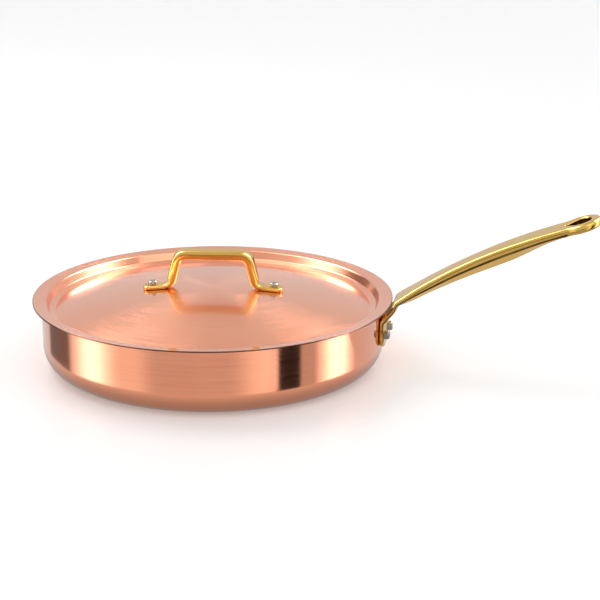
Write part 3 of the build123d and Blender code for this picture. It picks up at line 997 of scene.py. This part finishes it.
@dataclass
class RivetPair:
    """Two like rivets of one body, placed by Geometry Nodes."""

    name: str
    body: Body
    nodes: tuple[str, str]
    places: list[tuple[Vector, Vector]]
    head_radius: float
    head_height: float
    head_round: float
    shank_radius: float
    grip: float
    back_radius: float
    back_height: float
    crown: float = 0.5 * MM
    back_round: float = 0.7 * MM
    seed: int = 3

    def template(self) -> Object:
        """One rivet on the Z axis, its head standing on the origin."""
        shoulder = (self.head_radius, self.head_height - self.crown)
        head_corners = [(self.head_radius / 2, self.head_height), shoulder, (self.head_radius, 0.0)]
        head = rounded_path(head_corners, [self.head_round], self.head_height / 4)
        end = -self.grip - self.back_height
        back_corners = [(self.back_radius, -self.grip), (self.back_radius, end), (0.0, end)]
        back = rounded_path(back_corners, [self.back_round], self.back_radius / 4)
        shank = [(self.shank_radius, 0.0), (self.shank_radius, -self.grip)]
        profile = [(0.0, self.head_height)] + head + shank + back
        return turned_mesh(self.name + "_template", profile, sharp_angle=50)

    def tree(self) -> NodeTree:
        """Geometry Nodes that stand a rivet on each point, along the point's axis."""
        sheet, entry, leave = new_group(
            self.name + "_places",
            {"Geometry": "Geometry", "Rivet": "Object", "Size": "Float", "Seed": "Int"},
            {"Geometry": "Geometry"},
            "GeometryNodeTree",
        )
        axis = sheet.add("GeometryNodeInputNamedAttribute", {"Name": "axis"}, data_type="FLOAT_VECTOR")
        upright = sheet.add("FunctionNodeAlignRotationToVector", {"Vector": axis.outputs[0]}, axis="Z")
        spin = sheet.add("FunctionNodeRandomValue", {"Max": math.tau, "Seed": entry.outputs["Seed"]})
        spin_turn = sheet.add("ShaderNodeCombineXYZ", {2: spin.outputs[1]})
        turned = sheet.add(
            "FunctionNodeRotateRotation",
            {0: upright.outputs[0], 1: spin_turn.outputs[0]},
            rotation_space="LOCAL",
        )
        rivet = sheet.add("GeometryNodeObjectInfo", {"Object": entry.outputs["Rivet"]})
        copies = sheet.add(
            "GeometryNodeInstanceOnPoints",
            {
                "Points": entry.outputs["Geometry"],
                "Instance": rivet.outputs["Geometry"],
                "Rotation": turned.outputs[0],
                "Scale": entry.outputs["Size"],
            },
        )
        real = sheet.add("GeometryNodeRealizeInstances", {0: copies.outputs[0]})
        sheet.fill(leave, {0: real.outputs[0]})
        return sheet.tree

    def build(self, materials: Materials) -> None:
        """Stands both rivets in their places."""
        mesh = bpy.data.meshes.new(self.name)
        mesh.from_pydata([place for place, _ in self.places], [], [])
        axes = mesh.attributes.new("axis", "FLOAT_VECTOR", "POINT")
        for item, (_, axis) in zip(axes.data, self.places):
            item.vector = axis
        piece = linked_object(self.name, mesh)
        template, tree = self.template(), self.tree()
        modifier = piece.modifiers.new("rivets", "NODES")
        modifier.node_group = tree
        values = {"Rivet": template, "Size": 1.0, "Seed": self.seed}
        for socket in tree.interface.items_tree:
            if socket.in_out == "INPUT" and socket.name in values:
                modifier[socket.identifier] = values[socket.name]
        baked_modifiers(piece)
        bpy.data.objects.remove(template)
        settle(piece, self.body, Slot.RIVET, materials["rivet_steel"], *self.nodes)


@dataclass
class Handles:
    """Both handles and the rivets that hold them."""

    pan: PanBody
    lid: LidBody
    rivet_seat: float = 3.7 * MM
    rivet_spacing: float = 24.0 * MM
    rivet_height: float = 33.5 * MM
    rivet_gap: float = 0.1 * MM
    lid_turn: float = math.radians(5.5)
    lid_half_span: float = 50.28 * MM
    foot_thickness: float = 3.2 * MM
    foot_gap: float = 0.15 * MM

    def pan_rivet_places(self) -> list[tuple[Vector, Vector]]:
        """Seat and axis of the long handle's rivets, front one first."""
        reach = self.pan.wall_radius + self.rivet_seat
        swing = math.asin(self.rivet_spacing / 2 / reach)
        outward = [Vector((math.cos(swing), side * math.sin(swing), 0)) for side in (-1, 1)]
        return [(axis * reach + Vector((0, 0, self.rivet_height)), axis) for axis in outward]

    def lid_rivet_places(self) -> list[tuple[Vector, Vector]]:
        """Seat and axis of the lid handle's rivets, left one first."""
        tilt = math.asin(self.lid_half_span / self.lid.sphere_radius)
        seat = self.lid.dome_height(self.lid_half_span) + self.foot_gap
        turn = Matrix.Rotation(self.lid_turn, 3, "Z")
        places = []
        for side in (-1, 1):
            axis = turn @ Vector((side * math.sin(tilt), 0, math.cos(tilt)))
            foot = turn @ Vector((side * self.lid_half_span, 0, seat))
            places.append((foot + axis * self.foot_thickness, axis))
        return places

    def build(self, materials: Materials) -> None:
        """Makes the castings and their rivets."""
        LongHandle(self.pan).build(materials)
        LidHandle().build(materials)
        pan_wall = self.pan.copper + self.pan.lining
        RivetPair(
            name="handle_rivets_steel",
            body=Body.PAN,
            nodes=("handle_rivet_front", "handle_rivet_back"),
            places=self.pan_rivet_places(),
            head_radius=3.9 * MM,
            head_height=4.3 * MM,
            head_round=1.3 * MM,
            shank_radius=2.5 * MM,
            grip=self.rivet_seat + pan_wall + self.rivet_gap,
            back_radius=4.6 * MM,
            back_height=1.6 * MM,
        ).build(materials)
        lid_sheet = self.lid.copper + self.lid.lining
        RivetPair(
            name="lid_rivets_steel",
            body=Body.LID,
            nodes=("lid_rivet_left", "lid_rivet_right"),
            places=self.lid_rivet_places(),
            head_radius=3.8 * MM,
            head_height=3.4 * MM,
            head_round=1.2 * MM,
            shank_radius=2.4 * MM,
            grip=self.foot_thickness + self.foot_gap + lid_sheet + self.rivet_gap,
            back_radius=4.4 * MM,
            back_height=1.4 * MM,
        ).build(materials)


@dataclass(frozen=True)
class ReflectedPanel:
    """One soft-edged panel of the studio that the metal mirrors.

    Azimuths are in degrees to the right of the camera, elevations above the horizon.
    """

    azimuth: float
    half_width: float
    low: float
    high: float
    level: float
    softness: float


@dataclass(frozen=True)
class Lamp:
    """One square area lamp that looks at the pan, its place in metres and its power in watts."""

    name: str
    place: tuple[float, float, float]
    side: float
    power: float

    def build(self) -> None:
        """Hangs the lamp, unseen by the camera."""
        data = bpy.data.lights.new(self.name, "AREA")
        data.shape = "SQUARE"
        data.size = self.side
        data.energy = self.power
        lamp = linked_object(self.name, data)
        lamp.location = self.place
        lamp.rotation_mode = "QUATERNION"
        lamp.rotation_quaternion = (-Vector(self.place)).to_track_quat("-Z", "Y")
        lamp.visible_camera = False


@dataclass
class Studio:
    """The camera, the pale floor, the lamps and the world that the metal mirrors.

    Levels are strengths of light. Angles of the world are in degrees; deep_from counts down
    from horizon_low, and deep_levels are the strengths there.
    """

    focal_pixels: float = 1700.0
    camera_azimuth: float = math.radians(8.0)
    elevation: float = math.radians(17.44)
    roll: float = math.radians(0.29)
    distance: float = 1416.0 * MM
    aim_height: float = 57.94 * MM
    aim_pixel: Point = (213.4, 294.03)
    principal_pixel: Point = (311.0, 306.0)
    sensor: float = 36.0
    floor_half: float = 6.0
    floor_tone: Colour = (0.86, 0.86, 0.86, 1.0)
    floor_glow: float = 0.24
    floor_roughness: float = 0.35
    floor_gloss: float = 0.25
    strip_near: Point = (165 * MM, -12 * MM)
    strip_far: Point = (360 * MM, 190 * MM)
    mirror_level: float = 0.74
    overhead_level: float = 0.76
    ambient_level: float = 0.68
    overhead_from: float = 30.0
    horizon_low: float = -27.0
    horizon_fade: float = 3.0
    deep_from: Point = (9.0, 5.0)
    deep_levels: Point = (0.5, 0.04)
    near_floor_reach: float = 37.0 * MM
    near_floor_level: float = 0.74
    contact_shadow_level: float = 0.3
    near_floor_points: int = 96
    lamps: tuple[Lamp, ...] = (
        Lamp("key_lamp", (-0.9, 0.5, 1.6), side=1.1, power=9.0),
        Lamp("fill_lamp", (0.9, -0.7, 1.5), side=1.2, power=4.0),
    )
    # Azimuth, half width, low, high, level and softness of each panel.
    panels: tuple[ReflectedPanel, ...] = (
        ReflectedPanel(0, 180, -13, -4, 0.12, 1.5),
        ReflectedPanel(-26, 16, -30, -12, 0.7, 6),
        ReflectedPanel(-58, 15, -30, 30, 1.05, 9),
        ReflectedPanel(-85, 11, -30, 40, 3.5, 14),
        ReflectedPanel(-123, 15, -30, 30, 0.2, 3),
        ReflectedPanel(37, 12, -30, 25, 1.3, 14),
        ReflectedPanel(54.5, 8.5, -30, 14, 0.03, 1.5),
        ReflectedPanel(69, 6, -30, 14, 0.6, 3),
        ReflectedPanel(93, 11, -30, 40, 3.3, 10),
        ReflectedPanel(127, 10, -30, 30, 0.8, 5),
        ReflectedPanel(-123, 14, 30, 60, 11.0, 8),
        ReflectedPanel(126, 16, 30, 60, 19.0, 8),
    )

    def camera(self) -> None:
        """Creates the camera at the photograph's viewing angle."""
        turn = Matrix.Rotation(self.camera_azimuth, 3, "Z")
        forward = turn @ Vector((0, math.cos(self.elevation), -math.sin(self.elevation)))
        upward = turn @ Vector((0, math.sin(self.elevation), math.cos(self.elevation)))
        sideways = turn @ Vector((1, 0, 0))
        across = (self.aim_pixel[0] - self.principal_pixel[0]) * self.distance / self.focal_pixels
        down = (self.aim_pixel[1] - self.principal_pixel[1]) * self.distance / self.focal_pixels
        aim = Vector((0, 0, self.aim_height))
        place = aim - forward * self.distance - sideways * across + upward * down
        tilted_side = sideways * math.cos(self.roll) + upward * math.sin(self.roll)
        tilted_up = upward * math.cos(self.roll) - sideways * math.sin(self.roll)
        data = bpy.data.cameras.new("camera")
        data.sensor_width = self.sensor
        data.lens = self.focal_pixels / IMAGE_SIDE * self.sensor
        data.shift_x = (IMAGE_SIDE / 2 - self.principal_pixel[0]) / IMAGE_SIDE
        data.shift_y = (self.principal_pixel[1] - IMAGE_SIDE / 2) / IMAGE_SIDE
        data.clip_start = 10 * MM
        camera = linked_object("camera", data)
        axes = Matrix((tilted_side, tilted_up, -forward)).transposed()
        camera.matrix_world = Matrix.Translation(place) @ axes.to_4x4()
        bpy.context.scene.camera = camera

    def floor(self) -> None:
        """Lays the pale floor, which keeps the pan's shadow."""
        mesh = bpy.data.meshes.new("floor")
        half = self.floor_half
        corners = [(-half, -half, 0), (half, -half, 0), (half, half, 0), (-half, half, 0)]
        mesh.from_pydata(corners, [], [(0, 1, 2, 3)])
        paint, sheet, shader = new_material("pale_floor")
        seen = sheet.add("ShaderNodeLightPath").outputs["Is Camera Ray"]
        sheet.fill(
            shader,
            {
                "Base Color": self.floor_tone,
                "Roughness": self.floor_roughness,
                "Specular IOR Level": self.floor_gloss,
                "Emission Color": WHITE,
                "Emission Strength": sheet.math("MULTIPLY", seen, self.floor_glow),
            },
        )
        mesh.materials.append(paint)
        floor = linked_object("floor", mesh)
        floor.visible_glossy = False

    def near_floor(self) -> None:
        """Lays a glowing stand-in for the floor close by, which only the metal mirrors, a painted
        reflection with a painted contact shadow where the pan touches down.
        """
        mesh = bpy.data.meshes.new("near_floor")
        reach = PanBody.wall_radius + self.near_floor_reach
        count = self.near_floor_points
        turns = [math.tau * number / count for number in range(count)]
        (left, close), (right, far) = self.strip_near, self.strip_far
        strip = [(left, close), (right, close), (right, far), (left, far)]
        points = [(reach * math.cos(turn), reach * math.sin(turn), -MM / 10) for turn in turns]
        points += [(x, y, -MM / 5) for x, y in strip]
        mesh.from_pydata(points, [], [tuple(range(count)), tuple(range(count, count + 4))])
        paint, sheet, shader = new_material("mirrored_floor")
        where = sheet.add("ShaderNodeTexCoord").outputs["Object"]
        away = sheet.vector_math("LENGTH", where).outputs["Value"]
        foot = PanBody.wall_radius - PanBody.corner
        sheet.fill(
            shader,
            {
                "Base Color": BLACK,
                "Specular IOR Level": 0.0,
                "Emission Color": WHITE,
                "Emission Strength": sheet.range(
                    away, foot, reach, self.contact_shadow_level, self.near_floor_level
                ),
            },
        )
        mesh.materials.append(paint)
        near = linked_object("near_floor", mesh)
        near.visible_camera = False
        near.visible_diffuse = False
        near.visible_shadow = False

    def world(self) -> None:
        """Makes the world: white to the camera, and a studio with soft panels in the metal."""
        world = bpy.data.worlds.new("studio")
        world.use_nodes = True
        bpy.context.scene.world = world
        sheet = NodeSheet(world.node_tree)
        background = world.node_tree.nodes["Background"]
        look = sheet.add("ShaderNodeTexCoord").outputs["Generated"]
        x, y, z = sheet.add("ShaderNodeSeparateXYZ", {0: look}).outputs[:3]
        azimuth = sheet.math("DEGREES", sheet.math("ARCTAN2", y, x))
        elevation = sheet.math("DEGREES", sheet.math("ARCSINE", z))
        toward_camera = -90 + math.degrees(self.camera_azimuth)
        level = sheet.range(
            elevation, 0.0, self.overhead_from, self.mirror_level, self.overhead_level
        )
        for panel in self.panels:
            turned = sheet.math("SUBTRACT", azimuth, toward_camera + panel.azimuth)
            aside = sheet.math("ABSOLUTE", sheet.math("WRAP", turned, 180.0, -180.0))
            soft = panel.softness
            mask = sheet.range(aside, panel.half_width - soft, panel.half_width + soft, 1.0, 0.0)
            above = sheet.range(elevation, panel.low - soft, panel.low + soft)
            below = sheet.range(elevation, panel.high - soft, panel.high + soft, 1.0, 0.0)
            mask = sheet.math("MULTIPLY", mask, sheet.math("MULTIPLY", above, below))
            level = sheet.mix(mask, level, panel.level)
        low, high = (self.horizon_low - drop for drop in self.deep_from)
        deep = sheet.range(elevation, low, high, *self.deep_levels)
        sunk = sheet.range(elevation, self.horizon_low - self.horizon_fade, self.horizon_low)
        mirrored = sheet.mix(sunk, deep, level)
        path = sheet.add("ShaderNodeLightPath")
        unseen = sheet.mix(path.outputs["Is Glossy Ray"], self.ambient_level, mirrored)
        strength = sheet.mix(path.outputs["Is Camera Ray"], unseen, 1.0)
        sheet.fill(background, {"Strength": strength, "Color": WHITE})

    def build(self) -> None:
        """Sets up the whole studio."""
        self.camera()
        self.floor()
        self.near_floor()
        self.world()
        for lamp in self.lamps:
            lamp.build()
        bpy.context.scene.view_settings.view_transform = "Standard"


def main() -> None:
    """Builds the studio, the pan, the lid, the handles and the rivets."""
    logging.basicConfig(level=logging.INFO, format="%(name)s %(message)s")
    Studio().build()
    materials = Finishes().build()
    pan = PanBody()
    pan.build(materials)
    lid = LidBody(pan)
    lid.build(materials)
    Handles(pan, lid).build(materials)


if __name__ == "__main__":
    main()
